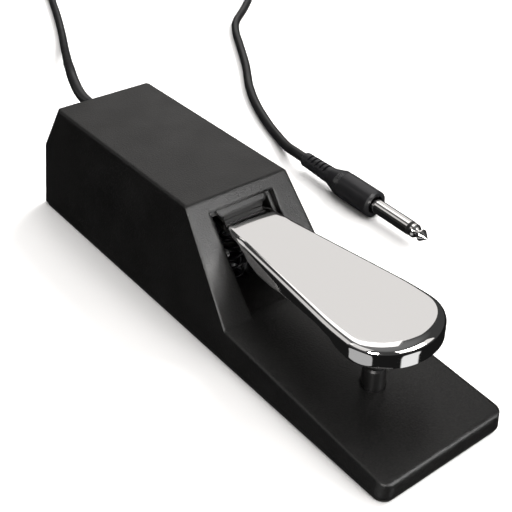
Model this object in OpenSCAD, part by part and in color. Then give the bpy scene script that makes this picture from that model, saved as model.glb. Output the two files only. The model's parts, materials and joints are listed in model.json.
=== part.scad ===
// Compact sustain pedal for a keyboard: a moulded housing with a low deck and a
// tower, a chromed pedal lever on a cross axle, a return spring, a snap switch
// and a thin cable that ends in a 6.35 mm jack plug.
// X points right, Y from the toe to the cable end, Z up. Millimetres.

/* [Housing] */
// Overall length
body_l = 210; // [200:1:240]
// Width at the foot
body_w = 54; // [52:0.5:64]
// Height of the tower's flat top
body_h = 48; // [46:0.5:54]
// Inward lean of both side walls, mm per mm of height
side_lean = 0.10; // [0.04:0.01:0.12]
// Wall thickness of the moulding
wall = 2.4; // [1.8:0.1:3]
// Height of the deck at its front edge
deck_front_z = 7.2; // [6.8:0.1:9]
// Height of the deck at the foot of the slope
deck_back_z = 12.7; // [11:0.1:14]
// Y of the foot of the tower's front slope
slope_foot_y = -26; // [-30:0.5:-22]
// Y of the head of the tower's front slope
slope_head_y = 1.5; // [-4:0.5:6]
// Length of the rear chamfer along Y
chamfer_l = 11; // [8:0.5:14]
// Drop of the rear chamfer
chamfer_h = 19.8; // [16:0.2:24]
// Radius of the front corners in plan
front_corner_r = 4; // [2:0.5:8]
// Radius of the rear corners and of the chamfer's side edges
rear_corner_r = 2.6; // [1:0.1:4]
// Half width of the mouth at its head
mouth_half = 14.2; // [12:0.1:16]
// Height of the mouth's head
mouth_head_z = 43.8; // [42:0.1:44.5]

/* [Base] */
// Thickness of the rubber sole
sole_t = 1.2; // [1:0.1:2]
// Thickness of the steel base plate
plate_t = 1.2; // [1:0.1:2]

/* [Pedal] */
// Height of the lever's top at the slope's foot
lever_z = 39.6; // [38:0.1:41]
// Rise of the lever towards the toe, degrees
lever_tilt = 0.92; // [0:0.02:1.5]
// Half width of the flat top where it leaves the mouth
lever_rear_half = 8.4; // [7:0.1:10]
// Half width of the flat top where the toe's bow starts
side_half = 15.3; // [13:0.1:17]
// Y of the toe arc's centre
toe_y = -76; // [-80:0.5:-70]
// Depth of the toe arc, from its centre to the front
toe_depth = 11.9; // [10:0.1:16]
// Width of the rounding outside the flat top
edge_out = 2.6; // [1:0.1:3]
// Sheet thickness
sheet = 1.8; // [1.4:0.1:2.2]
// Y of the pivot axle
pivot_y = 22; // [20:0.5:24]
// Height of the pivot axle
pivot_z = 31; // [30:0.5:32]
// Radius of the axle
axle_r = 2; // [1.5:0.1:2.2]

/* [Toe stop] */
// Y of the stop post
post_y = -72; // [-74:0.5:-70]
// Radius of the stop post
post_r = 3.95; // [3:0.05:5]
// Height of the post's head
post_head_z = 18; // [16:0.1:20]

/* [Cable] */
// Radius of the cable
cable_r = 2.35; // [1.5:0.05:2.5]
// Radius of the coil's middle turn
coil_r = 25; // [24:0.5:30]
// Place of the coil's centre
coil_at = [172, 325]; // [0:1:400]

/* [Hidden] */
$fn = 48;

eps = 0.01;
half_l = body_l / 2;
half_w = body_w / 2;
plate_top = sole_t + plate_t;
plate_half_l = half_l - wall - 0.4;
knee_z = body_h - chamfer_h;
chamfer_k = chamfer_l / chamfer_h;
deck_k = (deck_back_z - deck_front_z) / (slope_foot_y + half_l);
slope_m = (slope_head_y - slope_foot_y) / (body_h - deck_back_z);

// Screw places in the base: [x, y, length above the plate's underside]
boss_x = 20.6;
base_screw_list = [
    [-boss_x, -92, 4.6], [boss_x, -92, 4.6],
    [-boss_x, -38, 7], [boss_x, -38, 7],
    [-boss_x, 92, 9], [boss_x, 92, 9]
];
// Shank length of the screw that holds the toe post to the plate
post_screw_l = 9;
boss_r = 3.4;
screw_r = 1.3;
head_r = 2.7;
head_t = 0.9;
head_hole_r = 3.3;
yoke_screw_x = 9;
yoke_screw_y = [15, 28];
bracket_screw_y = [44, 54];
bracket_screw_x = 9;

// Mouth, stop bar and the pad that the lever rests against
mouth_foot_half = 13.4;
bar_half = 10.8;
bar_low_z = 41.2;
bar_recess = 0.9;
bar_t = 2;
leg_in = 12.4;
leg_t = 1.8;
leg_depth = 8;
leg_low_z = 24;
rib_t = 3;
mouth_screw_at = [-7.6, 29.2];
mouth_screw_r = 1.1;

// Lever
edge_drop = 2.8;
neck_half = 9.8;
tail_half = 8;
tail_end_y = 43;
ear_y = 8;
ear_t = 1.6;
pad_t = 2.4;
bush_gap = 0.05;
bush_r = 3.5;
cheek_in = 11.6;
cheek_t = 1.6;

// Skirt's lower edge in side view, toe to mouth: [y, depth below the flat top]
skirt_edge = [
    [-100, 7.4], [-84, 7.4], [-77, 7.3], [-72.5, 6.8], [-68.5, 4.6], [-62, 3.9],
    [-54, 4.4], [-44, 5.5], [-34, 6.9], [-27, 7.3], [-22, 6.3], [-18, 3.6], [-14.5, 1.9],
    [-8, 1.75], [4, 1.7]
];

// Spring
spring_y = 4;
spring_r = 4.2;
spring_wire = 0.6;
spring_low = 4.4;
spring_high = 34.8;
spring_turns = 6;

// Switch: its button stands under the lever's tail
button_y = 39.5;
switch_low = 20;
switch_top = 31;
switch_l = 19.8;
switch_t = 6.4;
switch_mid_y = 43;
switch_hole_y = [38.2, 47.8];
switch_hole_z = 23;
switch_hole_r = 1.1;
terminal_y = [36, 43, 50];
lead_r = 0.6;

// Cable exit, square to the rear chamfer
exit_at = [0, half_l - chamfer_l / 2, body_h - chamfer_h / 2];
exit_tilt = -atan2(chamfer_h, chamfer_l);
grommet_r = 3.2;

// Cable from inside the housing, over the rear and along the floor to the coil
route_housing = [
    [0, 87.4, 31.4], [0, 93.4, 34.7], [0, 99.5, 38.1], [-0.9, 103.4, 40.1], [-1.9, 107.5, 41.7],
    [-1.7, 112, 42.9], [-0.3, 118, 44.1], [2, 124.5, 44.2], [5.7, 133, 42.8], [11.8, 146, 38.5],
    [19.4, 162, 32.5], [28.2, 180, 25.5], [37, 198, 18.5], [45.8, 216, 12], [54.3, 234, 6.8],
    [62.8, 252, 3.7], [71, 270, 2.5], [82, 296, 2.4], [91.5, 320, 2.4], [101, 341, 2.4],
    [117, 356, 2.4], [137, 361, 2.4], [155, 358, 2.4], [168, 355, 2.4]
];
// Cable from the coil's top turn, down to the floor and along it to the plug
route_plug = [
    [201.6, 329, 11.7], [202.8, 318, 11], [206.4, 304, 7.6], [210.4, 290, 4.2],
    [211.6, 276, 2.6], [208.2, 262, 2.4], [200, 250.4, 2.4], [189.4, 240.2, 2.4],
    [178, 230.4, 2.4], [166.3, 220.4, 2.4], [156, 207, 2.4], [147.1, 192, 2.4],
    [131, 164.9, 2.4], [111.7, 135.3, 2.4], [98.3, 107.4, 2.4], [90.6, 86, 2.6],
    [86.2, 74, 4.1], [83.8, 66, 5.8], [83.1, 57.6, 6.1]
];
coil_wide = 3;
coil_high = 3;
turn_gap = 4.7;

// Jack plug, lying on its barrel. Its own axis runs from the cable to the tip.
plug_at = [83.1, 57.6, 6.1];
plug_heading = -92.4;
boot_l = 19.4;
cone_l = 6;
band_l = 3.4;
barrel_l = 19.4;
barrel_r = 6.05;
sleeve_r = 3.175;
sleeve_root_r = 3;
sleeve_l = 21.4;
insulator_l = 1.3;
sleeve_from = boot_l + cone_l + band_l + barrel_l;

// ---- shared shapes ----

function unit(v) = v / norm(v);
// Points of a round corner of radius r at b, between a and c
function round_corner(a, b, c, r, n = 6) =
    let (u = unit(a - b), v = unit(c - b))
    let (half = acos(min(1, max(-1, u * v))) / 2)
    let (mid = b + unit(u + v) * r / sin(half))
    let (s = b + u * r / tan(half) - mid, e = b + v * r / tan(half) - mid)
    let (from = atan2(s[1], s[0]), to = atan2(e[1], e[0]))
    let (turn = to - from)
    let (arc = turn > 180 ? turn - 360 : turn < -180 ? turn + 360 : turn)
    [for (i = [0:n]) mid + r * [cos(from + arc * i / n), sin(from + arc * i / n)]];
// Closed outline with a radius at each corner; 0 keeps the corner sharp
function rounded(points, radii) =
    let (n = len(points))
    [for (i = [0:n - 1])
        for (p = radii[i] == 0 ? [points[i]] :
            round_corner(points[(i + n - 1) % n], points[i], points[(i + 1) % n], radii[i]))
            p];
// Smooth curve through route points, with a number of steps between two points
function smooth(p, steps) =
    let (last = len(p) - 1)
    [for (i = [0:last - 1])
        for (s = [0:steps - 1])
            let (a = p[max(i - 1, 0)], b = p[i], c = p[i + 1], d = p[min(i + 2, last)])
            let (t = s / steps)
            0.5 * (2 * b + (c - a) * t + (2 * a - 5 * b + 4 * c - d) * t * t
                + (3 * b - a - 3 * c + d) * t * t * t),
     p[last]];
// Ring of a tube round the point i of a path
function tube_ring(path, i, r, sides) =
    let (last = len(path) - 1)
    let (way = unit(path[min(i + 1, last)] - path[max(i - 1, 0)]))
    let (side = unit(cross(way, [0, 0, 1])), up = cross(side, way))
    [for (k = [0:sides - 1])
        path[i] + r * (cos(360 * k / sides) * side + sin(360 * k / sides) * up)];

// Closed solid through rings of equal point counts
module loft(rings) {
    n = len(rings[0]);
    m = len(rings);
    sides = [for (i = [0:m - 2])
        for (k = [0:n - 1])
            let (a = i * n + k, b = i * n + (k + 1) % n)
            for (face = [[a, b, b + n], [a, b + n, a + n]])
                face];
    near = [[for (k = [n - 1:-1:0]) k]];
    end = [[for (k = [0:n - 1]) (m - 1) * n + k]];
    polyhedron([for (ring = rings) for (p = ring) p], concat(sides, near, end));
}
module tube(route, r, sides, steps) {
    path = smooth(route, steps);
    loft([for (i = [0:len(path) - 1]) tube_ring(path, i, r, sides)]);
}
// Extrudes a side-view outline, drawn as [y, z], across X
module across(width) {
    rotate([90, 0, 90])
        linear_extrude(width, center = true)
            children();
}
// Extrudes a front-view outline, drawn as [x, z], along Y between two places
module along(y0, y1) {
    translate([0, y1, 0])
        rotate([90, 0, 0])
            linear_extrude(y1 - y0)
                children();
}
// Cylinder along X
module bar_x(r, x0, x1) {
    translate([x0, 0, 0])
        rotate([0, 90, 0])
            cylinder(r = r, h = x1 - x0);
}
module ring_x(r, bore, x0, x1) {
    difference() {
        bar_x(r, x0, x1);
        bar_x(bore, x0 - 1, x1 + 1);
    }
}
module plan_box(half_x, y0, y1, r, z0, z1) {
    translate([0, 0, z0])
        linear_extrude(z1 - z0)
            polygon(rounded([[-half_x, y0], [half_x, y0], [half_x, y1], [-half_x, y1]],
                [r, r, r, r]));
}

// ---- housing ----

// Y of the front slope and of the rear chamfer at a height, moved inwards by inset
function slope_y(z, inset) =
    slope_foot_y + slope_m * (z - deck_back_z) + inset * sqrt(1 + slope_m * slope_m);
function deck_z(y) = deck_back_z + deck_k * (y - slope_foot_y);
function chamfer_y(z, inset) =
    half_l - chamfer_k * (z - knee_z) - inset * sqrt(1 + chamfer_k * chamfer_k);
// Side view of the housing, moved inwards by inset: [y, z]
function side_outline(inset, low) =
    let (back = inset * sqrt(1 + slope_m * slope_m))
    let (foot_t = (deck_k * back - inset) / (1 - deck_k * slope_m))
    let (knee_in = inset * (sqrt(1 + chamfer_k * chamfer_k) - 1) / chamfer_k)
    [
        [-half_l + inset, low],
        [-half_l + inset, deck_z(-half_l + inset) - inset],
        [slope_foot_y + slope_m * foot_t + back, deck_back_z + foot_t],
        [slope_y(body_h - inset, inset), body_h - inset],
        [chamfer_y(body_h - inset, inset), body_h - inset],
        [half_l - inset, knee_z - knee_in],
        [half_l - inset, low]
    ];
module leaning_corner(sx, sy, r) {
    // Removes the square corner outside a leaning round of radius r
    translate([sx * half_w, sy * half_l, 0])
        rotate([0, -sx * atan(side_lean), 0])
            translate([-sx * r, -sy * r, -1])
                difference() {
                    translate([sx > 0 ? 0 : -2 * r, sy > 0 ? 0 : -2 * r, 0])
                        cube([2 * r, 2 * r, body_h + 4]);
                    translate([0, 0, -1])
                        cylinder(r = r, h = body_h + 6);
                }
}
module chamfer_corner(sx, r) {
    // Rounds the edge between the rear chamfer and a side wall
    mid_half = half_w - side_lean * exit_at[2];
    edge_l = norm([chamfer_l, chamfer_h]);
    translate([sx * mid_half, exit_at[1], exit_at[2]])
        rotate([exit_tilt, 0, 0])
            rotate([0, 0, -sx * atan(side_lean * chamfer_h / edge_l)])
                translate([-sx * r, 0, -r])
                    rotate([90, 0, 0])
                        linear_extrude(edge_l + 2, center = true)
                            difference() {
                                translate([sx > 0 ? 0 : -2 * r, 0])
                                    square(2 * r);
                                circle(r);
                            }
}
module body_form(inset, low, radii) {
    intersection() {
        across(2 * body_w)
            polygon(rounded(side_outline(inset, low), radii));
        along(-half_l, half_l)
            polygon(rounded([
                [-half_w + inset, 0],
                [half_w - inset, 0],
                [half_w - inset - side_lean * (body_h - inset), body_h - inset],
                [-half_w + inset + side_lean * (body_h - inset), body_h - inset]
            ], [0, 0, 1, 1]));
    }
}
module mouth() {
    along(slope_foot_y - 8, slope_head_y + 10)
        polygon([
            [-mouth_foot_half, deck_back_z],
            [mouth_foot_half, deck_back_z],
            [mouth_half, mouth_head_z],
            [-mouth_half, mouth_head_z]
        ]);
}
// Side-view strip behind the front slope, from y0 to y1 behind its inner face
function behind_slope(low, high, y0, y1) = [
    [slope_y(low, wall) + y0, low],
    [slope_y(low, wall) + y1, low],
    [slope_y(high, wall) + y1, high],
    [slope_y(high, wall) + y0, high]
];
module on_exit(from) {
    // Local +Z runs out of the rear chamfer
    translate(exit_at)
        rotate([exit_tilt, 0, 0])
            translate([0, 0, from])
                children();
}
module housing() {
    color([0.13, 0.125, 0.12])
        difference() {
            union() {
                difference() {
                    body_form(0, sole_t, [0, 1.6, 1, 1, 1, 1, 0]);
                    body_form(wall, 0, [0, 0, 0, 0, 0, 0, 0]);
                    mouth();
                }
                // Sill that carries the deck on into the mouth
                translate([-18, slope_foot_y - 2, deck_back_z - 2.4])
                    cube([36, 24, 2.2]);
                for (s = base_screw_list)
                    translate([s[0], s[1], plate_top])
                        cylinder(r = boss_r, h = s[2] + 1.6 - plate_t);
                // Ribs behind the mouth that the stop bar's legs are screwed to
                for (sx = [-1, 1])
                    translate([sx * (leg_in + leg_t + rib_t / 2), 0, 0])
                        across(rib_t)
                            polygon(behind_slope(leg_low_z - 3, mouth_head_z, -1, leg_depth));
            }
            for (sx = [-1, 1]) {
                leaning_corner(sx, -1, front_corner_r);
                leaning_corner(sx, 1, rear_corner_r);
                chamfer_corner(sx, rear_corner_r);
                mirror([sx < 0 ? 1 : 0, 0, 0])
                    translate([0, mouth_screw_at[0], mouth_screw_at[1]])
                        bar_x(mouth_screw_r, leg_in, leg_in + leg_t + rib_t);
            }
            for (s = base_screw_list)
                translate([s[0], s[1], 0])
                    cylinder(r = screw_r, h = sole_t + s[2]);
            translate([0, post_y, 0])
                cylinder(r = post_r, h = body_h);
            on_exit(-wall - 2)
                cylinder(r = grommet_r, h = wall + 4);
        }
}

// ---- base ----

module sole() {
    color([0.05, 0.05, 0.05])
        difference() {
            plan_box(half_w - 0.5, -half_l + 0.5, half_l - 0.5, 3.6, 0, sole_t);
            for (p = under_heads())
                translate([p[0], p[1], -1])
                    cylinder(r = head_hole_r, h = sole_t + 2);
        }
}
// Every screw head that sits under the plate
function under_heads() = concat(
    [for (s = base_screw_list) [s[0], s[1]]],
    [[0, post_y]],
    [for (sx = [-1, 1]) for (y = yoke_screw_y) [sx * yoke_screw_x, y]],
    [for (y = bracket_screw_y) [bracket_screw_x, y]]
);
module base_plate() {
    color([0.55, 0.56, 0.57])
        difference() {
            plan_box(half_w - wall - 0.5, -plate_half_l, plate_half_l, 3, sole_t, plate_top);
            for (p = under_heads())
                translate([p[0], p[1], 0])
                    cylinder(r = screw_r + 0.1, h = 10);
        }
}
module screw_up(length) {
    // Pan head under the plate, shank upwards
    translate([0, 0, sole_t - head_t])
        cylinder(r = head_r, h = head_t);
    translate([0, 0, sole_t - eps])
        cylinder(r = screw_r, h = length + eps);
}
module base_screws() {
    color("silver") {
        for (s = base_screw_list)
            translate([s[0], s[1], 0])
                screw_up(s[2]);
        translate([0, post_y, 0])
            screw_up(post_screw_l);
    }
}

// ---- mouth fittings ----

module stop_bar() {
    // Moulded bar across the mouth's head, with round lower corners. Two legs behind
    // the slope carry it.
    y0 = slope_y(bar_low_z, 0) + bar_recess;
    head = slope_y(mouth_head_z - 0.05, 0) + bar_recess;
    gap = 0.05;
    color([0.14, 0.135, 0.13])
        difference() {
            union() {
                intersection() {
                    across(2 * bar_half)
                        polygon([
                            [y0, bar_low_z],
                            [y0 + 4, bar_low_z],
                            [slope_y(mouth_head_z - gap, wall) + 1, mouth_head_z - gap],
                            [head, mouth_head_z - gap]
                        ]);
                    along(y0 - 1, y0 + 9)
                        polygon(rounded([
                            [-bar_half, bar_low_z],
                            [bar_half, bar_low_z],
                            [bar_half, body_h],
                            [-bar_half, body_h]
                        ], [1.6, 1.6, 0, 0]));
                }
                across(2 * (leg_in + leg_t) - gap)
                    polygon(behind_slope(bar_low_z, body_h - wall - gap, gap, gap + bar_t));
                for (sx = [-1, 1])
                    translate([sx * (leg_in + leg_t / 2), 0, 0])
                        across(leg_t - gap)
                            polygon(behind_slope(leg_low_z, bar_low_z + 2, gap, leg_depth));
            }
            translate([0, mouth_screw_at[0], mouth_screw_at[1]])
                bar_x(mouth_screw_r, -half_w, half_w);
        }
}
module up_stop_pad() {
    y0 = slope_y(bar_low_z, 0) + bar_recess;
    color([0.04, 0.04, 0.04])
        translate([-8.6, y0 + 0.3, lever_top(y0) + 0.06])
            cube([17.2, 5, bar_low_z - lever_top(y0) - 0.06]);
}
module mouth_screws() {
    // Screws that hold the stop bar's legs, heads beside the lever
    color("silver")
        for (sx = [-1, 1])
            mirror([sx < 0 ? 1 : 0, 0, 0])
                translate([0, mouth_screw_at[0], mouth_screw_at[1]]) {
                    bar_x(mouth_screw_r, leg_in - 0.3, leg_in + leg_t + rib_t);
                    bar_x(1.8, leg_in - 1.2, leg_in);
                }
}
module toe_post() {
    color([0.06, 0.06, 0.06])
        translate([0, post_y, plate_top])
            rotate_extrude()
                polygon([
                    [screw_r, 0],
                    [post_r, 0],
                    [post_r, post_head_z - plate_top - 1.2],
                    [post_r - 0.35, post_head_z - plate_top - 0.4],
                    [post_r - 1.2, post_head_z - plate_top],
                    [0, post_head_z - plate_top],
                    [0, 8],
                    [screw_r, 8]
                ]);
}

// ---- pivot ----

module yoke() {
    flange = [11.6, 32.6];
    color([0.62, 0.63, 0.64])
        difference() {
            union() {
                translate([-cheek_in - cheek_t, flange[0], plate_top])
                    cube([2 * (cheek_in + cheek_t), flange[1] - flange[0], cheek_t]);
                for (x0 = [-cheek_in - cheek_t, cheek_in]) {
                    translate([x0, pivot_y - 8, plate_top])
                        cube([cheek_t, 16, pivot_z - plate_top]);
                    translate([0, pivot_y, pivot_z])
                        bar_x(8, x0, x0 + cheek_t);
                }
            }
            translate([0, pivot_y, pivot_z])
                bar_x(axle_r, -20, 20);
            for (sx = [-1, 1])
                for (y = yoke_screw_y)
                    translate([sx * yoke_screw_x, y, 0])
                        cylinder(r = screw_r, h = 10);
        }
}
module yoke_screws() {
    color("silver")
        for (sx = [-1, 1])
            for (y = yoke_screw_y)
                translate([sx * yoke_screw_x, y, 0])
                    screw_up(4.2);
}
module axle() {
    color("silver")
        translate([0, pivot_y, pivot_z])
            bar_x(axle_r, -16, 16);
}
module axle_clips() {
    color("dimgray")
        for (x0 = [-14.2, 13.3])
            translate([0, pivot_y, pivot_z])
                ring_x(3.8, axle_r, x0, x0 + 0.9);
}
module bush(side) {
    // Flanged nylon bush between an ear of the lever and a cheek of the yoke
    color("ivory")
        translate([0, pivot_y, pivot_z])
            mirror([side < 0 ? 1 : 0, 0, 0])
                difference() {
                    union() {
                        bar_x(bush_r, tail_half - ear_t, tail_half);
                        bar_x(5, tail_half, cheek_in - 0.25);
                    }
                    bar_x(axle_r + bush_gap, 0, 20);
                }
}
module bush_left() {
    bush(-1);
}
module bush_right() {
    bush(1);
}

// ---- lever ----

function lever_top(y) = lever_z - tan(lever_tilt) * (y - slope_foot_y);
// Places a shape drawn with the lever's flat top at z = 0
module lever_frame() {
    translate([0, slope_foot_y, lever_z])
        rotate([-lever_tilt, 0, 0])
            translate([0, -slope_foot_y, 0])
                children();
}
side_from = -18;
side_to = -62;
// Half width of the flat top along the lever's straight and bowed side
function side_x(y) =
    let (k = (side_half - lever_rear_half) / (-8 - side_to))
    let (bow = max(0, side_to - y), reach = side_to - toe_y)
    y > side_to ? lever_rear_half + k * (-8 - y) : side_half + k * bow - k * bow * bow / (2 * reach);
// Right half of the plan outline, moved outwards by out: [x, y]
function right_outline(out, rear_y) = concat(
    [for (y = [rear_y, side_to]) [side_x(y) + out, y]],
    [for (i = [1:3]) let (y = side_to + (toe_y - side_to) * i / 4) [side_x(y) + out, y]],
    [for (a = [0:6:90]) [
        (side_x(toe_y) + out) * cos(a),
        toe_y - (toe_depth + 1.5 * out) * sin(a)
    ]]
);
function plan_outline(out, rear_y) =
    let (right = right_outline(out, rear_y), n = len(right))
    concat(right, [for (i = [n - 2:-1:0]) [-right[i][0], right[i][1]]]);
function level(outline, z) = [for (p = outline) [p[0], p[1], z]];
// Solid under the flat top, with its rounded edge, down to a depth
module lever_form(inset, rear_y, depth) {
    loft(concat(
        [level(plan_outline(edge_out - inset, rear_y), -depth)],
        [for (a = [0:15:90])
            level(plan_outline(edge_out * cos(a) - inset, rear_y), -inset - edge_drop * (1 - sin(a)))]
    ));
}
module skirt_cut() {
    across(100)
        polygon(concat(
            [for (p = smooth(skirt_edge, 4)) [p[0], -p[1]]],
            [[4, -60], [-100, -60]]
        ));
}
module pedal() {
    color([0.85, 0.85, 0.86])
        difference() {
            union() {
                lever_frame()
                    difference() {
                        lever_form(0, side_from + 8, 12);
                        lever_form(sheet, side_from + 12, 14);
                        skirt_cut();
                    }
                lever_frame()
                    translate([0, 0, -sheet])
                        linear_extrude(sheet)
                            polygon([
                                [-neck_half, -10.5], [-tail_half, ear_y], [-tail_half, tail_end_y],
                                [tail_half, tail_end_y], [tail_half, ear_y], [neck_half, -10.5]
                            ]);
                for (x0 = [-tail_half, tail_half - ear_t]) {
                    translate([x0, pivot_y - 6, pivot_z])
                        cube([ear_t, 12, lever_top(pivot_y) - sheet - pivot_z + 0.6]);
                    translate([0, pivot_y, pivot_z])
                        bar_x(6, x0, x0 + ear_t);
                }
            }
            translate([0, pivot_y, pivot_z])
                bar_x(bush_r, -20, 20);
        }
}
module toe_pad() {
    // Rubber pad under the toe that meets the stop post
    color([0.04, 0.04, 0.04])
        lever_frame()
            translate([0, post_y + 0.5, -sheet - pad_t])
                cylinder(r = 6, h = pad_t);
}
module spring_cup() {
    color("silver")
        translate([0, spring_y, spring_high])
            difference() {
                cylinder(r = 6, h = lever_top(spring_y) - sheet - spring_high - 0.1);
                translate([0, 0, -1])
                    cylinder(r = spring_r + spring_wire + 0.3, h = 2.2);
            }
}
module spring_seat() {
    color([0.1, 0.1, 0.1])
        translate([0, spring_y, plate_top])
            difference() {
                cylinder(r = 6.6, h = 4);
                translate([0, 0, spring_low - plate_top])
                    cylinder(r = spring_r + spring_wire + 0.3, h = 4);
            }
}
module spring() {
    // Compression spring: closed end coils and open turns between them
    top = spring_high + 1.2;
    rise = top - spring_low - 2 * spring_wire;
    steps = 14 * spring_turns;
    wire = [for (i = [0:steps])
        let (a = 360 * spring_turns * i / steps)
        [spring_r * cos(a), spring_r * sin(a), spring_low + spring_wire + rise * i / steps]];
    color("silver")
        translate([0, spring_y, 0])
            loft([for (i = [0:steps]) tube_ring(wire, i, spring_wire, 6)]);
}

// ---- switch ----

module switch_body() {
    color([0.08, 0.08, 0.09])
        difference() {
            translate([-switch_t / 2, switch_mid_y - switch_l / 2, switch_low])
                cube([switch_t, switch_l, switch_top - switch_low]);
            translate([-1.6, button_y - 1.5, switch_top - 4])
                cube([3.2, 3, 5]);
            for (y = switch_hole_y)
                translate([0, y, switch_hole_z])
                    bar_x(switch_hole_r, -10, 10);
        }
}
module switch_button() {
    top = lever_top(button_y) - sheet - 0.05;
    color([0.75, 0.2, 0.15])
        translate([-1.5, button_y - 1.4, switch_top - 2.6])
            cube([3, 2.8, top - switch_top + 2.6]);
}
module switch_terminals() {
    color([0.8, 0.65, 0.3])
        for (y = terminal_y)
            translate([-1.6, y - 0.25, switch_low - 5])
                cube([3.2, 0.5, 5]);
}
module switch_bracket() {
    x0 = switch_t / 2;
    color([0.62, 0.63, 0.64])
        difference() {
            union() {
                translate([x0, switch_mid_y - 8, plate_top])
                    cube([1.2, 22, 24.2]);
                translate([x0, switch_mid_y - 6, plate_top])
                    cube([10, 20, 1.6]);
            }
            for (y = switch_hole_y)
                translate([0, y, switch_hole_z])
                    bar_x(switch_hole_r, 0, 10);
            for (y = bracket_screw_y)
                translate([bracket_screw_x, y, 0])
                    cylinder(r = screw_r, h = 10);
        }
}
module switch_screws() {
    color("silver")
        for (y = switch_hole_y)
            translate([0, y, switch_hole_z]) {
                bar_x(switch_hole_r, -switch_t / 2 - eps, switch_t / 2 + 2.6);
                bar_x(1.9, -switch_t / 2 - 1.2, -switch_t / 2);
            }
}
module bracket_screws() {
    color("silver")
        for (y = bracket_screw_y)
            translate([bracket_screw_x, y, 0])
                screw_up(4);
}
module lead_live() {
    color([0.6, 0.08, 0.06])
        tube([
            [0.9, 44, 15.2], [0.9, 48, 13], [1.1, 58, 11],
            [1.3, 70, 15], [1, 80, 24], [0.9, 86.6, 31]
        ], lead_r, 8, 2);
}
module lead_return() {
    color([0.9, 0.9, 0.88])
        tube([
            [-0.9, 51, 15.2], [-1, 54, 12.5], [-1.4, 62, 11.5],
            [-1.4, 72, 15.5], [-1, 80.6, 24], [-0.9, 86.6, 31]
        ], lead_r, 8, 2);
}

// ---- cable ----

module grommet() {
    color([0.06, 0.06, 0.06])
        difference() {
            union() {
                on_exit(0)
                    cylinder(r = 4.2, h = 1.8);
                on_exit(-wall)
                    cylinder(r = grommet_r, h = wall + 0.5);
                on_exit(-wall - 1.4)
                    cylinder(r = 4, h = 1.4);
            }
            on_exit(-20)
                cylinder(r = cable_r + 0.1, h = 40);
        }
}
module cable_collar() {
    // Clamp ring that keeps the cable from being pulled out
    color([0.7, 0.7, 0.68])
        on_exit(-wall - 5)
            difference() {
                cylinder(r = 4.4, h = 3.5);
                translate([0, 0, -1])
                    cylinder(r = cable_r + 0.1, h = 6);
            }
}
module cable_housing_end() {
    color([0.05, 0.05, 0.05])
        tube(route_housing, cable_r, 8, 2);
}
module cable_plug_end() {
    color([0.05, 0.05, 0.05])
        tube(route_plug, cable_r, 8, 2);
}
module cable_coil() {
    in_r = coil_r - coil_wide * turn_gap / 2;
    out_r = coil_r + coil_wide * turn_gap / 2;
    color([0.05, 0.05, 0.05])
        translate([coil_at[0], coil_at[1], 0])
            rotate_extrude($fn = 96)
                polygon(rounded([
                    [in_r, 0], [out_r, 0], [out_r, coil_high * turn_gap], [in_r, coil_high * turn_gap]
                ], [1.5, 1.5, 1.5, 1.5]));
}
module coil_tie() {
    // Flat strap round the bundle of turns
    half = coil_wide * turn_gap / 2 + 0.1;
    high = coil_high * turn_gap + 0.1;
    color([0.1, 0.1, 0.1])
        translate([coil_at[0] - coil_r, coil_at[1], 0])
            along(-3, 3)
                difference() {
                    polygon([
                        [-half - 1, 0], [half + 1, 0], [half + 1, high + 1], [-half - 1, high + 1]
                    ]);
                    polygon([[-half, 0.6], [half, 0.6], [half, high], [-half, high]]);
                }
}

// ---- jack plug ----

// Local +Z runs from the cable end to the tip
module on_plug(from) {
    translate(plug_at)
        rotate([0, 0, plug_heading])
            rotate([0, 90, 0])
                translate([0, 0, from])
                    children();
}
module plug_boot() {
    // Tapered strain relief with five pairs of slots
    color([0.06, 0.06, 0.06])
        difference() {
            on_plug(0)
                rotate_extrude()
                    polygon([
                        [0, 0], [2.9, 0], [3.4, 0.5], [3.4, 1.6], [3.9, boot_l], [0, boot_l]
                    ]);
            for (i = [0:4])
                for (side = [0, 180])
                    on_plug(4 + 2.9 * i)
                        rotate([0, 0, side])
                            translate([1.9, -5, 0])
                                cube([5, 10, 1.2]);
        }
}
module plug_barrel() {
    // Moulded shell: cone, a band of fine rings and a smooth barrel with a recess
    ring_pitch = band_l / 5;
    cone_end = boot_l + cone_l;
    barrel_from = cone_end + band_l;
    color([0.05, 0.05, 0.05])
        difference() {
            union() {
                on_plug(boot_l)
                    rotate_extrude()
                        polygon([[0, 0], [4.1, 0], [4.4, 1.2], [5.75, cone_l], [0, cone_l]]);
                for (i = [0:4])
                    on_plug(cone_end + ring_pitch * i)
                        rotate_extrude()
                            polygon([
                                [0, 0], [5.75, 0], [5.95, ring_pitch * 0.35], [5.95, ring_pitch * 0.7],
                                [5.75, ring_pitch], [0, ring_pitch]
                            ]);
                on_plug(barrel_from)
                    rotate_extrude()
                        polygon([
                            [0, 0], [barrel_r, 0], [barrel_r, barrel_l - 0.8],
                            [barrel_r - 0.8, barrel_l], [0, barrel_l]
                        ]);
            }
            on_plug(sleeve_from - 2.4)
                cylinder(r = 4.1, h = 5);
            on_plug(sleeve_from - 12)
                cylinder(r = sleeve_root_r, h = 20);
        }
}
module plug_sleeve() {
    color([0.8, 0.8, 0.8])
        union() {
            on_plug(sleeve_from - 12)
                cylinder(r = sleeve_root_r, h = 13);
            on_plug(sleeve_from)
                cylinder(r = sleeve_r, h = sleeve_l);
        }
}
module plug_insulator() {
    color([0.03, 0.03, 0.03])
        on_plug(sleeve_from + sleeve_l)
            cylinder(r = sleeve_root_r, h = insulator_l);
}
module plug_tip() {
    color([0.8, 0.8, 0.8])
        on_plug(sleeve_from + sleeve_l + insulator_l)
            rotate_extrude()
                polygon([
                    [0, 0], [2.9, 0], [3, 0.4], [3, 1.6], [2.4, 2.6], [1.5, 3.2], [1.5, 3.9],
                    [2.6, 4.9], [2.6, 5.4], [0.5, 8.2], [0, 8.3]
                ]);
}

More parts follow.
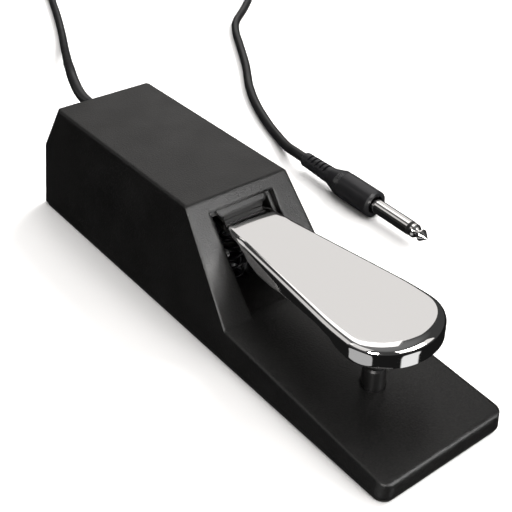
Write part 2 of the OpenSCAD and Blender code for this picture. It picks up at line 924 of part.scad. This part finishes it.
housing();
sole();
base_plate();
base_screws();
stop_bar();
up_stop_pad();
mouth_screws();
toe_post();
yoke();
yoke_screws();
axle();
axle_clips();
pedal();
bush_left();
bush_right();
spring_cup();
toe_pad();
spring();
spring_seat();
switch_body();
switch_button();
switch_terminals();
switch_bracket();
switch_screws();
bracket_screws();
lead_live();
lead_return();
grommet();
cable_collar();
cable_housing_end();
cable_coil();
coil_tie();
cable_plug_end();
plug_boot();
plug_barrel();
plug_sleeve();
plug_insulator();
plug_tip();
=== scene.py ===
"""Sustain pedal: looks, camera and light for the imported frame."""

import json
import math

import bpy
import bmesh
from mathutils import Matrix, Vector


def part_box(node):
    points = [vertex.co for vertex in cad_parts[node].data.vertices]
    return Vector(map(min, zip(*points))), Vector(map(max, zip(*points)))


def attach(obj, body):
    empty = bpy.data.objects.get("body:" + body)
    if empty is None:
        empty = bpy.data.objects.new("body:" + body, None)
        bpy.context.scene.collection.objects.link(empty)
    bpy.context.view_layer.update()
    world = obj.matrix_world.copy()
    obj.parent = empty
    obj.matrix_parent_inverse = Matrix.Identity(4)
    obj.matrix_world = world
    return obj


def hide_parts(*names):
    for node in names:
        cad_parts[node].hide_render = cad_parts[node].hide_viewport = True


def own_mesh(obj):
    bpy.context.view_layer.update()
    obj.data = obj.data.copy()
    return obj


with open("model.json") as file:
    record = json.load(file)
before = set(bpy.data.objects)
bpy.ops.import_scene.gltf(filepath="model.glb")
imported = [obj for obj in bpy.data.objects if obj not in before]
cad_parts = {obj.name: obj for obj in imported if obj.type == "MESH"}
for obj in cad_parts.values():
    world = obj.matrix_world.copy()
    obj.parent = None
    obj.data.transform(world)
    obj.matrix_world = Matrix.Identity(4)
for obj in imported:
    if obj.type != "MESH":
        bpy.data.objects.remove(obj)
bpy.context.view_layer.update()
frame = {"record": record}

MM = 0.001


# ---- camera ----

def make_camera():
    """Camera at the photograph's angle, above the pedal's left front."""
    azimuth = math.radians(-38.04)
    elevation = math.radians(31.69)
    roll = math.radians(0.87)
    back = Vector((
        math.sin(azimuth) * math.cos(elevation),
        -math.cos(azimuth) * math.cos(elevation),
        math.sin(elevation),
    ))
    right = (-back).cross(Vector((0, 0, 1))).normalized()
    up = right.cross(-back)
    right_rolled = math.cos(roll) * right + math.sin(roll) * up
    up_rolled = -math.sin(roll) * right + math.cos(roll) * up
    data = bpy.data.cameras.new("camera")
    data.lens = 67.45
    data.sensor_width = 36
    data.shift_x = 0.0236
    data.shift_y = -0.115
    data.clip_start = 0.01
    data.clip_end = 20
    camera = bpy.data.objects.new("camera", data)
    bpy.context.collection.objects.link(camera)
    turn = camera.matrix_world.copy()
    for row in range(3):
        turn[row][0] = right_rolled[row]
        turn[row][1] = up_rolled[row]
        turn[row][2] = back[row]
    camera.matrix_world = turn
    camera.location = (-0.17739, -0.22945, 0.22354)
    bpy.context.scene.camera = camera


make_camera()


# ---- materials ----

def link_nodes(tree, source, output, target, socket):
    """Link one node's named output to another's named input."""
    tree.links.new(source.outputs[output], target.inputs[socket])


def material(name, color, roughness, metallic=0.0, specular=0.5):
    """Principled material with values on its own sockets."""
    made = bpy.data.materials.new(name)
    made.use_nodes = True
    shader = made.node_tree.nodes["Principled BSDF"]
    shader.inputs["Base Color"].default_value = (*color, 1)
    shader.inputs["Roughness"].default_value = roughness
    shader.inputs["Metallic"].default_value = metallic
    shader.inputs["Specular IOR Level"].default_value = specular
    return made


def object_noise(made, scale, detail=2.0):
    """Noise on the object's own coordinates, so it stays on the surface."""
    nodes = made.node_tree.nodes
    coordinates = nodes.new("ShaderNodeTexCoord")
    noise = nodes.new("ShaderNodeTexNoise")
    noise.inputs["Scale"].default_value = scale
    noise.inputs["Detail"].default_value = detail
    link_nodes(made.node_tree, coordinates, "Object", noise, "Vector")
    return noise


def add_bump(made, noise, strength, distance):
    """Raise the surface by noise, in shading only."""
    bump = made.node_tree.nodes.new("ShaderNodeBump")
    bump.inputs["Strength"].default_value = strength
    bump.inputs["Distance"].default_value = distance
    link_nodes(made.node_tree, noise, "Fac", bump, "Height")
    shader = made.node_tree.nodes["Principled BSDF"]
    link_nodes(made.node_tree, bump, "Normal", shader, "Normal")
    return bump


def round_edges(made, bump, radius):
    """Shade sharp edges as if they had a radius, in metres."""
    bevel = made.node_tree.nodes.new("ShaderNodeBevel")
    bevel.samples = 8
    bevel.inputs["Radius"].default_value = radius
    link_nodes(made.node_tree, bevel, "Normal", bump, "Normal")


def add_range(made, noise, socket, low, high):
    """Drive a scalar socket by noise between two values."""
    span = made.node_tree.nodes.new("ShaderNodeMapRange")
    span.inputs["From Min"].default_value = 0.3
    span.inputs["From Max"].default_value = 0.7
    span.inputs["To Min"].default_value = low
    span.inputs["To Max"].default_value = high
    link_nodes(made.node_tree, noise, "Fac", span, "Value")
    shader = made.node_tree.nodes["Principled BSDF"]
    link_nodes(made.node_tree, span, "Result", shader, socket)


def add_tint(made, noise, dark, light):
    """Vary the base colour by noise between two values."""
    ramp = made.node_tree.nodes.new("ShaderNodeValToRGB")
    ramp.color_ramp.elements[0].position = 0.35
    ramp.color_ramp.elements[0].color = (*dark, 1)
    ramp.color_ramp.elements[1].position = 0.65
    ramp.color_ramp.elements[1].color = (*light, 1)
    link_nodes(made.node_tree, noise, "Fac", ramp, "Fac")
    shader = made.node_tree.nodes["Principled BSDF"]
    link_nodes(made.node_tree, ramp, "Color", shader, "Base Color")


def moulded_plastic():
    """Black plastic with a fine, even spark-eroded grain."""
    made = material("moulded_plastic", (0.009, 0.0086, 0.0084), 0.42, specular=0.5)
    grain = object_noise(made, 1500, 3)
    bump = add_bump(made, grain, 0.5, 0.0002)
    round_edges(made, bump, 0.0016)
    add_tint(made, grain, (0.0005, 0.0005, 0.0005), (0.006, 0.0057, 0.0055))
    add_range(made, object_noise(made, 60, 4), "Roughness", 0.38, 0.47)
    return made


def rubber(name, color, roughness):
    """Matt rubber or soft plastic with a faint grain."""
    made = material(name, color, roughness, specular=0.4)
    grain = object_noise(made, 1500, 2)
    add_bump(made, grain, 0.2, 0.0001)
    add_range(made, object_noise(made, 90, 3), "Roughness", roughness - 0.05, roughness + 0.07)
    return made


def bright_metal(name, color, roughness, spread):
    """Plated metal, its polish varying a little over the surface."""
    made = material(name, color, roughness, metallic=1.0)
    add_range(made, object_noise(made, 45, 3), "Roughness", roughness, roughness + spread)
    return made


def drawn_steel(name, color, roughness):
    """Zinc plated sheet with a faint drawn grain along Y."""
    made = material(name, color, roughness, metallic=1.0)
    tree = made.node_tree
    coordinates = tree.nodes.new("ShaderNodeTexCoord")
    stretch = tree.nodes.new("ShaderNodeMapping")
    stretch.inputs["Scale"].default_value = (900, 40, 900)
    noise = tree.nodes.new("ShaderNodeTexNoise")
    noise.inputs["Scale"].default_value = 1
    link_nodes(tree, coordinates, "Object", stretch, "Vector")
    link_nodes(tree, stretch, "Vector", noise, "Vector")
    add_bump(made, noise, 0.12, 0.00005)
    add_range(made, noise, "Roughness", roughness - 0.06, roughness + 0.1)
    return made


MATERIALS = {
    "abs_black": moulded_plastic(),
    "sole_rubber": rubber("sole_rubber", (0.012, 0.012, 0.012), 0.75),
    "pad_rubber": rubber("pad_rubber", (0.008, 0.008, 0.008), 0.7),
    "post_rubber": rubber("post_rubber", (0.009, 0.009, 0.009), 0.3),
    "zinc_steel": drawn_steel("zinc_steel", (0.5, 0.51, 0.52), 0.34),
    "screw_steel": bright_metal("screw_steel", (0.62, 0.62, 0.62), 0.2, 0.12),
    # Spring wire near black: painted shade, keeping the coils as dark as the unlit inside of the
    # housing
    "spring_steel": bright_metal("spring_steel", (0.045, 0.045, 0.047), 0.36, 0.15),
    "chrome": bright_metal("chrome", (0.86, 0.855, 0.85), 0.05, 0.02),
    "nylon": rubber("nylon", (0.7, 0.67, 0.6), 0.5),
    "switch_black": rubber("switch_black", (0.014, 0.014, 0.016), 0.35),
    "button_red": rubber("button_red", (0.45, 0.04, 0.03), 0.4),
    "brass": bright_metal("brass", (0.75, 0.56, 0.25), 0.25, 0.1),
    "wire_red": rubber("wire_red", (0.42, 0.015, 0.012), 0.4),
    "wire_white": rubber("wire_white", (0.75, 0.75, 0.72), 0.4),
    "cable_pvc": rubber("cable_pvc", (0.01, 0.01, 0.0105), 0.34),
    "plug_pvc": rubber("plug_pvc", (0.014, 0.014, 0.0155), 0.33),
    "tie_black": rubber("tie_black", (0.01, 0.01, 0.01), 0.45),
    "nickel": bright_metal("nickel", (0.84, 0.83, 0.82), 0.08, 0.03),
}


def dress(obj, slot):
    """Give a new piece its finish."""
    obj.data.materials.clear()
    obj.data.materials.append(MATERIALS[slot])


# ---- cable ----

CABLE_R = 0.00235
COIL_AT = Vector((0.172, 0.325, 0))
COIL_R = 0.025
TURN_GAP = 0.0047
FLOOR_GAP = 0.00005
# Part of each turn after which the cable steps to its next lane
STEP_FROM, STEP_OVER = 0.66, 0.34

# Route from inside the housing to the coil, and from the coil to the plug, in mm. These are
# part.scad's points without the last and the first, where the coil's own turns take over.
# The stretches in view come from places read off the photograph through the fitted camera.
ROUTE_HOUSING = [
    (0, 87.4, 31.4), (0, 93.4, 34.7), (0, 99.5, 38.1), (-0.9, 103.4, 40.1), (-1.9, 107.5, 41.7),
    (-1.7, 112, 42.9), (-0.3, 118, 44.1), (2, 124.5, 44.2), (5.7, 133, 42.8), (11.8, 146, 38.5),
    (19.4, 162, 32.5), (28.2, 180, 25.5), (37, 198, 18.5), (45.8, 216, 12), (54.3, 234, 6.8),
    (62.8, 252, 3.7), (71, 270, 2.5), (82, 296, 2.4), (91.5, 320, 2.4), (101, 341, 2.4),
    (117, 356, 2.4), (137, 361, 2.4), (155, 358, 2.4),
]
ROUTE_PLUG = [
    (202.8, 318, 11), (206.4, 304, 7.6), (210.4, 290, 4.2),
    (211.6, 276, 2.6), (208.2, 262, 2.4), (200, 250.4, 2.4), (189.4, 240.2, 2.4),
    (178, 230.4, 2.4), (166.3, 220.4, 2.4), (156, 207, 2.4), (147.1, 192, 2.4),
    (131, 164.9, 2.4), (111.7, 135.3, 2.4), (98.3, 107.4, 2.4), (90.6, 86, 2.6),
    (86.2, 74, 4.1), (83.8, 66, 5.8), (83.1, 57.6, 6.1),
]


def coil_points():
    """Clockwise turns: out to in on the floor, in to out above, and a third layer."""
    inner = COIL_R - TURN_GAP
    lanes = [2, 1, 0, 0, 1, 2, 2]
    layers = [0, 0, 0, 1, 1, 1, 2]
    per_turn = 24
    points = []
    total = len(lanes) * per_turn + per_turn // 4
    for i in range(total + 1):
        turn = i / per_turn
        now = min(int(turn), len(lanes) - 1)
        after = min(now + 1, len(lanes) - 1)
        step = max(0.0, (turn - now - STEP_FROM) / STEP_OVER) if turn < len(lanes) else 0.0
        step = min(1.0, step)
        blend = step * step * (3 - 2 * step)
        lane = lanes[now] + (lanes[after] - lanes[now]) * blend
        layer = layers[now] + (layers[after] - layers[now]) * blend
        angle = math.radians(90) - 2 * math.pi * turn
        radius = inner + TURN_GAP * lane
        points.append(COIL_AT + Vector((
            radius * math.cos(angle),
            radius * math.sin(angle),
            CABLE_R + FLOOR_GAP + TURN_GAP * layer,
        )))
    return points


def cable():
    """One round cable from inside the housing through the coil to the plug."""
    points = [Vector(p) * MM for p in ROUTE_HOUSING]
    points += coil_points()
    points += [Vector(p) * MM for p in ROUTE_PLUG]
    curve = bpy.data.curves.new("cable", "CURVE")
    curve.dimensions = "3D"
    spline = curve.splines.new("BEZIER")
    spline.bezier_points.add(len(points) - 1)
    for knot, point in zip(spline.bezier_points, points):
        knot.co = point
        knot.handle_left_type = "AUTO"
        knot.handle_right_type = "AUTO"
    curve.resolution_u = 6
    curve.bevel_depth = CABLE_R
    curve.bevel_resolution = 5
    curve.use_fill_caps = True
    piece = bpy.data.objects.new("cable", curve)
    bpy.context.collection.objects.link(piece)
    dress(piece, "cable_pvc")
    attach(piece, "base")
    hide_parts("cable_housing_end", "cable_coil", "cable_plug_end")
    return piece


cord = cable()


# ---- CAD nodes ----

# Edge radii of the moulded and machined nodes, in metres
EDGE_RADII = {
    "housing": 0.0011,
    "sole": 0.0003,
    "base_plate": 0.0002,
    "stop_bar": 0.0004,
    "up_stop_pad": 0.0004,
    "yoke": 0.0003,
    "switch_body": 0.0003,
    "switch_bracket": 0.0003,
    "coil_tie": 0.0004,
    "plug_barrel": 0.00025,
    "plug_boot": 0.0002,
    "plug_tip": 0.00015,
    "grommet": 0.0004,
}


def dress_cad():
    """Every carried-over CAD node gets its slot's material and soft edges."""
    slots = {part["node"]: part["material_slot"] for part in frame["record"]["subparts"]}
    for node, slot in slots.items():
        obj = bpy.data.objects.get(node)
        if obj is None or obj.type != "MESH":
            continue
        if not obj.material_slots:
            obj.data.materials.append(MATERIALS[slot])
        for holder in obj.material_slots:
            holder.material = MATERIALS[slot]
        if node in EDGE_RADII:
            soften = obj.modifiers.new("edges", "BEVEL")
            soften.width = EDGE_RADII[node]
            soften.segments = 3
            soften.limit_method = "ANGLE"
            soften.angle_limit = math.radians(28)
            soften.harden_normals = True


dress_cad()


# ---- lever ----

# The lever's own plane: it rises gently towards the toe, in mm
LEVER_AT = (-26.0, 39.6)
LEVER_TILT = math.radians(0.92)
SHEET = 1.8
EDGE_OUT = 2.6
EDGE_DROP = 2.8
CROWN = 0.45
TAIL_HALF = 6.7
REAR_HALF, SIDE_HALF = 8.4, 15.3
# The side is straight between these two stations, then bows to the toe
SIDE_FROM, SIDE_TO = -8, -62.0
# Where the lever starts to narrow to its tail, and over what length
NARROW_FROM, NARROW_OVER = -10, 18
TOE_Y, TOE_DEPTH = -76.0, 11.9
# Skirt's lower edge in side view, toe to tail: (y, depth below the flat top), rounded from
# places read off the photograph through the fitted camera
SKIRT_EDGE = [
    (-100, 7.4), (-84, 7.4), (-77, 7.3), (-72.5, 6.8), (-68.5, 4.6), (-62, 3.9),
    (-54, 4.4), (-44, 5.5), (-34, 6.9), (-27, 7.3), (-22, 6.3), (-18, 3.6), (-14.5, 1.9),
    (-8, 1.8), (60, 1.8),
]


def side_x(y):
    """Half width of the flat top along the straight and bowed side."""
    slope = (SIDE_HALF - REAR_HALF) / (SIDE_FROM - SIDE_TO)
    if y > SIDE_TO:
        return REAR_HALF + slope * (SIDE_FROM - y)
    bow = SIDE_TO - y
    return SIDE_HALF + slope * bow - slope * bow * bow / (2 * (SIDE_TO - TOE_Y))


def rear_x(y):
    """Half width inside the tower, where the lever narrows to its tail."""
    if y < NARROW_FROM:
        return side_x(y)
    blend = min(1.0, (y - NARROW_FROM) / NARROW_OVER)
    return side_x(NARROW_FROM) + (TAIL_HALF - side_x(NARROW_FROM)) * blend


def skirt_depth(y):
    """Depth of the skirt's lower edge at a station, eased between the listed ones."""
    for (y0, d0), (y1, d1) in zip(SKIRT_EDGE, SKIRT_EDGE[1:]):
        if y0 <= y <= y1:
            t = (y - y0) / (y1 - y0)
            t = t * t * (3 - 2 * t)
            return d0 + (d1 - d0) * t
    return SHEET


def lever_rows():
    """Stations along the lever, tail to toe tip: (edge point, offset direction, y)."""
    rows = []
    for y in [43, 30, 18, 10, 8, 5, 2, -1, -4, -7, -9]:
        rows.append(((rear_x(y), y), (1, 0)))
    straight = 36
    for i in range(straight):
        y = NARROW_FROM + (SIDE_TO - NARROW_FROM) * i / straight
        rows.append(((side_x(y), y), (1, 0)))
    for i in range(8):
        y = SIDE_TO + (TOE_Y - SIDE_TO) * i / 8
        rows.append(((side_x(y), y), (1, 0)))
    for i in range(25):
        angle = math.radians(90 * i / 24)
        edge = (side_x(TOE_Y) * math.cos(angle), TOE_Y - TOE_DEPTH * math.sin(angle))
        rows.append((edge, (math.cos(angle), -1.5 * math.sin(angle))))
    return rows


def lever_profile(edge, way):
    """Half of a cross-section, from the crown's middle round the skirt to the underside."""
    def beside(out, z):
        return (edge[0] + out * way[0], edge[1] + out * way[1], z)

    drop = -CROWN * (edge[0] / SIDE_HALF) ** 2
    depth = skirt_depth(edge[1] + EDGE_OUT * way[1])
    fall = min(EDGE_DROP, depth - 0.3)
    points = []
    across = 8
    for i in range(across):
        x = edge[0] * i / across
        points.append((x, edge[1], -CROWN * (x / SIDE_HALF) ** 2))
    for i in range(9):
        angle = math.radians(90 * i / 8)
        rolled = drop - (fall + drop) * (1 - math.cos(angle))
        points.append(beside(EDGE_OUT * math.sin(angle), rolled))
    for i in range(1, 5):
        points.append(beside(EDGE_OUT, -fall - (depth - 0.25 - fall) * i / 4))
    points.append(beside(EDGE_OUT - 0.12, -depth + 0.06))
    points.append(beside(EDGE_OUT - 0.35, -depth))
    inner = EDGE_OUT - SHEET
    points.append(beside(inner + 0.35, -depth))
    points.append(beside(inner + 0.08, -max(depth - 0.2, SHEET)))
    for i in range(1, 4):
        height = -max(depth - 0.3 - (depth - 0.3 - SHEET - 0.6) * i / 3, SHEET)
        points.append(beside(inner, height))
    points.append(beside(inner - 0.6, -SHEET))
    for i in range(3, -1, -1):
        x = max(0.0, edge[0] + (inner - 0.6) * way[0]) * i / 4
        points.append((x, edge[1] + (inner - 0.6) * way[1], -SHEET))
    return points


def lever_to_world(point):
    """From the lever's plane to the model's frame, in metres."""
    x, y, z = point
    y -= LEVER_AT[0]
    return Vector((
        x,
        LEVER_AT[0] + y * math.cos(LEVER_TILT) + z * math.sin(LEVER_TILT),
        LEVER_AT[1] - y * math.sin(LEVER_TILT) + z * math.cos(LEVER_TILT),
    )) * MM


# Ear: pivot's Y and Z, top, inner and outer X, radii of its rim and its bush's hole, in mm
PIVOT_Y, PIVOT_Z = 22, 31
EAR_TOP = 37.6
EAR_INNER_X, EAR_OUTER_X = 6.4, 8.0
EAR_R, BUSH_R = 6.0, 3.5
# Stretch that squares the upper half of the ear's rim
EAR_SQUARE = 1.42


def add_ear(form, side):
    """Ear with the bush's hole, hanging from the tail's side."""
    inner_x, outer_x = EAR_INNER_X * side, EAR_OUTER_X * side
    count = 40
    loops = {}
    for x in (inner_x, outer_x):
        for name, radius in (("rim", EAR_R), ("bore", BUSH_R)):
            ring = []
            for i in range(count):
                angle = 2 * math.pi * i / count
                y = PIVOT_Y + radius * math.cos(angle)
                z = PIVOT_Z + radius * math.sin(angle)
                if name == "rim" and z > PIVOT_Z:
                    half = EAR_R if math.cos(angle) > 0 else -EAR_R
                    rise = EAR_TOP - PIVOT_Z
                    y = PIVOT_Y + half * min(1.0, abs(math.cos(angle)) * EAR_SQUARE)
                    z = min(EAR_TOP, PIVOT_Z + rise * min(1.0, math.sin(angle) * EAR_SQUARE))
                ring.append(form.verts.new(Vector((x, y, z)) * MM))
            loops[(name, x)] = ring
    for i in range(count):
        j = (i + 1) % count
        for x in (inner_x, outer_x):
            rim, bore = loops[("rim", x)], loops[("bore", x)]
            form.faces.new((rim[i], rim[j], bore[j], bore[i]))
        for name in ("rim", "bore"):
            near, away = loops[(name, inner_x)], loops[(name, outer_x)]
            form.faces.new((near[i], near[j], away[j], away[i]))


def lever():
    """Chromed lever: crowned top, rolled edge, waved skirt and a flat tail with two ears."""
    form = bmesh.new()
    rings = []
    for edge, way in lever_rows():
        half = lever_profile(edge, way)
        right = [form.verts.new(lever_to_world(p)) for p in half]
        left = [form.verts.new(lever_to_world((-p[0], p[1], p[2]))) for p in half]
        rings.append(right + left[::-1])
    for near, away in zip(rings, rings[1:]):
        count = len(near)
        for i in range(count):
            j = (i + 1) % count
            form.faces.new((near[i], near[j], away[j], away[i]))
    form.faces.new(rings[0])
    bmesh.ops.remove_doubles(form, verts=form.verts, dist=1e-6)
    bmesh.ops.dissolve_degenerate(form, edges=form.edges, dist=1e-7)
    for side in (-1, 1):
        add_ear(form, side)
    bmesh.ops.recalc_face_normals(form, faces=form.faces)
    for face in form.faces:
        face.smooth = True
    mesh = bpy.data.meshes.new("lever")
    form.to_mesh(mesh)
    form.free()
    mesh.set_sharp_from_angle(angle=math.radians(40))
    piece = bpy.data.objects.new("lever", mesh)
    bpy.context.collection.objects.link(piece)
    dress(piece, "chrome")
    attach(piece, "lever")
    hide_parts("pedal")


lever()


# ---- return spring ----

SPRING_WIRE = 0.0006
SPRING_TURNS = 8


def spring_path():
    """Closed turns at both ends and open turns between them."""
    low, high = (Vector(corner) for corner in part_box("spring"))
    centre = (low + high) / 2
    radius = (high.x - low.x) / 2 - SPRING_WIRE
    rise = high.z - low.z - 2 * SPRING_WIRE
    closed = 2.1 * SPRING_WIRE
    per_turn = 28
    path = []
    for i in range(SPRING_TURNS * per_turn + 1):
        turn = i / per_turn
        from_end = min(turn, SPRING_TURNS - turn)
        if from_end <= 1:
            height = closed * from_end
        else:
            open_rise = rise / 2 - closed
            height = closed + open_rise * (from_end - 1) / (SPRING_TURNS / 2 - 1)
        if turn > SPRING_TURNS / 2:
            height = rise - height
        angle = 2 * math.pi * turn
        path.append(Vector((
            centre.x + radius * math.cos(angle),
            centre.y + radius * math.sin(angle),
            low.z + SPRING_WIRE + height,
        )))
    return path, centre, low


def return_spring():
    """Round wire along the spring's path."""
    path, centre, low = spring_path()
    sides = 10
    form = bmesh.new()
    rings = []
    for i, point in enumerate(path):
        along = path[min(i + 1, len(path) - 1)] - path[max(i - 1, 0)]
        out = Vector((point.x - centre.x, point.y - centre.y, 0)).normalized()
        up = along.cross(out).normalized()
        rings.append([
            form.verts.new(point + SPRING_WIRE * (
                math.cos(2 * math.pi * j / sides) * out
                + math.sin(2 * math.pi * j / sides) * up
            ))
            for j in range(sides)
        ])
    for first, second in zip(rings, rings[1:]):
        for j in range(sides):
            k = (j + 1) % sides
            form.faces.new((first[j], first[k], second[k], second[j]))
    form.faces.new(rings[0][::-1])
    form.faces.new(rings[-1])
    bmesh.ops.recalc_face_normals(form, faces=form.faces)
    mesh = bpy.data.meshes.new("return_spring")
    form.to_mesh(mesh)
    form.free()
    mesh.shade_smooth()
    piece = bpy.data.objects.new("return_spring", mesh)
    bpy.context.collection.objects.link(piece)
    dress(piece, "spring_steel")
    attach(piece, "base")
    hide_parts("spring")
    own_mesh(piece)


return_spring()


# ---- studio ----

CARD_DISTANCE = 1.6
CARD_AIM = (0, -0.02, 0.03)
CARD_COLOR = (1, 0.975, 0.955)
BACKDROP_R = 5.5
FLOOR_REACH = 6


def area_light(name, place, target, size, power, color=(1, 1, 1)):
    """Rectangular light at a place, aimed at a target."""
    data = bpy.data.lights.new(name, "AREA")
    data.shape = "RECTANGLE"
    data.size = size[0]
    data.size_y = size[1]
    data.energy = power
    data.color = color
    light = bpy.data.objects.new(name, data)
    bpy.context.collection.objects.link(light)
    light.location = place
    light.rotation_euler = (Vector(target) - Vector(place)).to_track_quat("-Z", "Y").to_euler()
    return light


def direction(azimuth, height):
    """Unit vector towards an azimuth from +X and a height above the horizon, in degrees."""
    flat = math.cos(math.radians(height))
    return Vector((
        flat * math.cos(math.radians(azimuth)),
        flat * math.sin(math.radians(azimuth)),
        math.sin(math.radians(height)),
    ))


def studio_card(name, azimuth, height, size, power, lights_scene=True):
    """Card light aimed at the pedal. A glint card is only seen in gloss."""
    place = CARD_DISTANCE * direction(azimuth, height)
    light = area_light(name, place, CARD_AIM, size, power, CARD_COLOR)
    light.visible_diffuse = lights_scene


def fill(name, azimuth, height, power, spread):
    """Soft even light for the floor and the matt colours, which gloss doesn't mirror."""
    data = bpy.data.lights.new(name, "SUN")
    data.energy = power
    data.angle = math.radians(spread)
    data.color = (1, 0.985, 0.97)
    light = bpy.data.objects.new(name, data)
    bpy.context.collection.objects.link(light)
    light.rotation_euler = (-direction(azimuth, height)).to_track_quat("-Z", "Y").to_euler()
    light.visible_glossy = False


def backdrop():
    """White studio wall far round the floor, seen directly and never mirrored."""
    form = bmesh.new()
    bmesh.ops.create_uvsphere(form, u_segments=48, v_segments=24, radius=BACKDROP_R)
    mesh = bpy.data.meshes.new("backdrop")
    form.to_mesh(mesh)
    form.free()
    made = bpy.data.objects.new("backdrop", mesh)
    bpy.context.collection.objects.link(made)
    paper = material("wall", (0.95, 0.95, 0.95), 0.95, specular=0.0)
    shader = paper.node_tree.nodes["Principled BSDF"]
    shader.inputs["Emission Color"].default_value = (1, 1, 1, 1)
    shader.inputs["Emission Strength"].default_value = 1.1
    made.data.materials.append(paper)
    made.visible_glossy = False
    made.visible_diffuse = False
    made.visible_shadow = False


def floor():
    """Plain pale floor. Gloss doesn't mirror it, as over a dark shooting table."""
    mesh = bpy.data.meshes.new("floor")
    form = bmesh.new()
    corners = ((-1, -1), (1, -1), (1, 1), (-1, 1))
    form.faces.new([form.verts.new((FLOOR_REACH * x, FLOOR_REACH * y, 0)) for x, y in corners])
    form.to_mesh(mesh)
    form.free()
    made = bpy.data.objects.new("floor", mesh)
    bpy.context.collection.objects.link(made)
    made.data.materials.append(material("paper", (0.95, 0.95, 0.95), 0.95, specular=0.0))
    made.visible_glossy = False


# Height above the horizon (sine of the angle) and brightness there
SKY_BANDS = [(0.0, 0.01), (0.04, 0.05), (0.7, 0.05), (0.86, 0.16), (1.0, 0.2)]
# White paper lying beyond the deck, mirrored in the toe: azimuth, height, cosine of reach, share
LOW_PAPER = [(-176, -37, 0.914, 0.45), (-73, -36, 0.974, 0.9)]
PAPER_EDGE = 0.004


def patch(tree, way, azimuth, height, reach):
    """1 inside a round patch of the surround, 0 outside it."""
    towards = tree.nodes.new("ShaderNodeVectorMath")
    towards.operation = "DOT_PRODUCT"
    towards.inputs[1].default_value = direction(azimuth, height)
    tree.links.new(way, towards.inputs[0])
    edge = tree.nodes.new("ShaderNodeMapRange")
    edge.inputs["From Min"].default_value = reach - PAPER_EDGE
    edge.inputs["From Max"].default_value = reach + PAPER_EDGE
    tree.links.new(towards.outputs["Value"], edge.inputs["Value"])
    return edge.outputs["Result"]


def sky():
    """Soft studio surround: bright overhead, dim at the sides, dark below."""
    world = bpy.data.worlds.new("studio")
    bpy.context.scene.world = world
    world.use_nodes = True
    tree = world.node_tree
    coordinates = tree.nodes.new("ShaderNodeTexCoord")
    split = tree.nodes.new("ShaderNodeSeparateXYZ")
    ramp = tree.nodes.new("ShaderNodeValToRGB")
    link_nodes(tree, coordinates, "Generated", split, "Vector")
    link_nodes(tree, split, "Z", ramp, "Fac")
    stops = ramp.color_ramp.elements
    while len(stops) < len(SKY_BANDS):
        stops.new(0.5)
    for stop, (height, glow) in zip(stops, SKY_BANDS):
        stop.position = height
        stop.color = (glow, glow, glow, 1)
    way = coordinates.outputs["Generated"]
    total = ramp.outputs["Color"]
    for azimuth, height, reach, share in LOW_PAPER:
        add = tree.nodes.new("ShaderNodeMixRGB")
        add.blend_type = "ADD"
        add.inputs["Color2"].default_value = (share, share, share, 1)
        inside = patch(tree, way, azimuth, height, reach)
        tree.links.new(inside, add.inputs["Fac"])
        tree.links.new(total, add.inputs["Color1"])
        total = add.outputs["Color"]
    tree.links.new(total, tree.nodes["Background"].inputs["Color"])


bpy.context.scene.view_settings.view_transform = "Standard"
floor()
backdrop()
sky()
# Cards behind, mirrored in the lever's top and the tower's: azimuth, height, size, power
studio_card("back", 50, 32, (1.0, 1.05), 2.6)
studio_card("back_high", 62, 66, (1.0, 1.0), 4.4)
# Cards on the left, which draw the bright line along the left edges
studio_card("left_high", 180, 45, (1.1, 1.1), 2.8)
studio_card("left", 140, 30, (1.0, 1.0), 2)
studio_card("left_glint", -143, 19, (0.5, 0.5), 34, lights_scene=False)
# Cards in front, mirrored in the slope
studio_card("front", -52, 30, (0.8, 0.8), 1.8)
studio_card("front_left", -84, 33, (0.7, 0.7), 6.8)
slope_glint = area_light(
    "slope_glint", (0.12, -0.34, 0.22), (-0.02, -0.012, 0.03), (0.15, 0.15), 1.1
)
slope_glint.visible_diffuse = False
# Fills: azimuth, height, strength, spread. The one on the right throws the soft shadow.
fill("fill_right", 5, 39, 5.3, 40)
fill("fill_front", -60, 45, 1, 36)
fill("fill_top", 0, 88, 1.2, 48)
